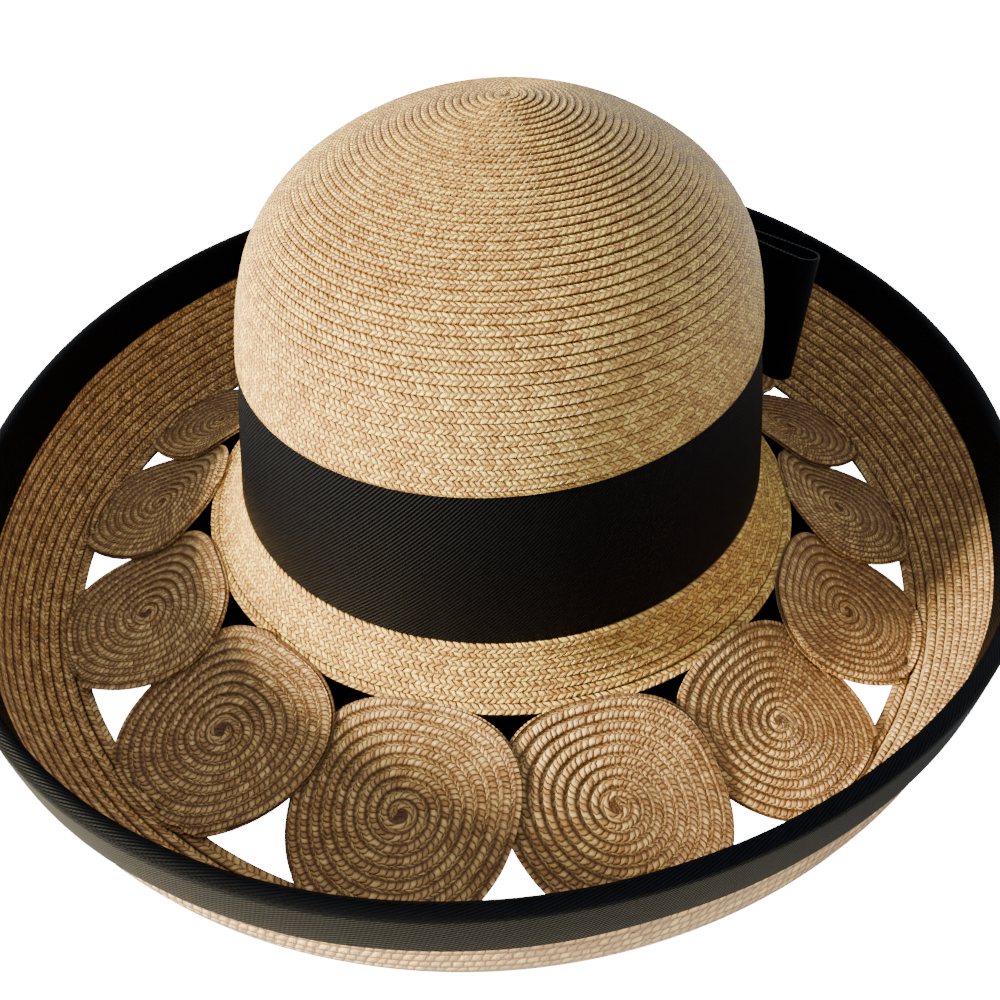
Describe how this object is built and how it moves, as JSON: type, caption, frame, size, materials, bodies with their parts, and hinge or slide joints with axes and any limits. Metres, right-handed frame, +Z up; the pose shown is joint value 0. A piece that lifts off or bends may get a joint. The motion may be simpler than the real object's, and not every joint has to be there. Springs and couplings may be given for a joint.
{
  "type": "straw hat",
  "caption": "Straw hat with a round domed crown, a wide ribbon band with a flat bow, a ring of coiled discs in the brim and a turned-up, ribbon-bound rim.",
  "frame": {"origin": "centre of the bounding box, on the surface that the hat rests on", "axes": "+Z up through the crown, -Y to the wearer's front, +X to the wearer's left"},
  "size_m": [0.3128, 0.3492, 0.145],
  "materials": {
    "straw_braid": "woven, slightly glossy",
    "grosgrain_ribbon": "ribbed, satin"
  },
  "bodies": {
    "root": {"crown": "straw_braid", "inner_brim": "straw_braid", "medallion_01": "straw_braid", "medallion_02": "straw_braid", "medallion_03": "straw_braid", "medallion_04": "straw_braid", "medallion_05": "straw_braid", "medallion_06": "straw_braid", "medallion_07": "straw_braid", "medallion_08": "straw_braid", "medallion_09": "straw_braid", "medallion_10": "straw_braid", "medallion_11": "straw_braid", "medallion_12": "straw_braid", "medallion_13": "straw_braid", "medallion_14": "straw_braid", "medallion_15": "straw_braid", "outer_brim": "straw_braid", "hat_band": "grosgrain_ribbon", "brim_binding": "grosgrain_ribbon", "bow_loop_left": "grosgrain_ribbon", "bow_loop_right": "grosgrain_ribbon", "bow_knot": "grosgrain_ribbon"}
  },
  "joints": []
}
